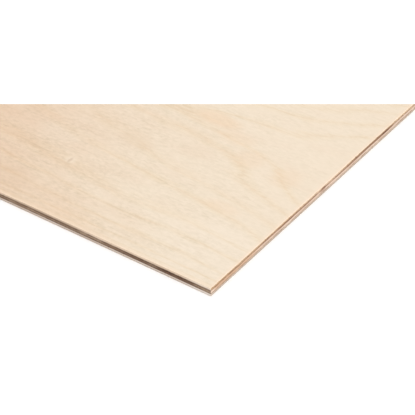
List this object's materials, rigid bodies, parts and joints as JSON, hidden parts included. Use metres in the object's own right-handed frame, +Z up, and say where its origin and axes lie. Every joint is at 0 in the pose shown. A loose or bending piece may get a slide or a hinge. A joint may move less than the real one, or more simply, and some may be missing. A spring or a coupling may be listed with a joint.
{
  "type": "plywood sheet",
  "caption": "Thin flat birch plywood sheet of cross-laid veneers, with sanded faces and square sawn edges.",
  "frame": {"origin": "middle of the underside, on the surface that the sheet lies on", "axes": "+X along the grain of the faces and the long side, +Y across it, +Z up out of the better face"},
  "size_m": [0.6, 0.3, 0.004],
  "materials": {
    "face_birch": "sanded, unfinished",
    "core_birch": "sawn edge grain",
    "back_birch": "sanded, unfinished"
  },
  "bodies": {
    "root": {"face_veneer": "face_birch", "core_veneer": "core_birch", "back_veneer": "back_birch"}
  },
  "joints": []
}
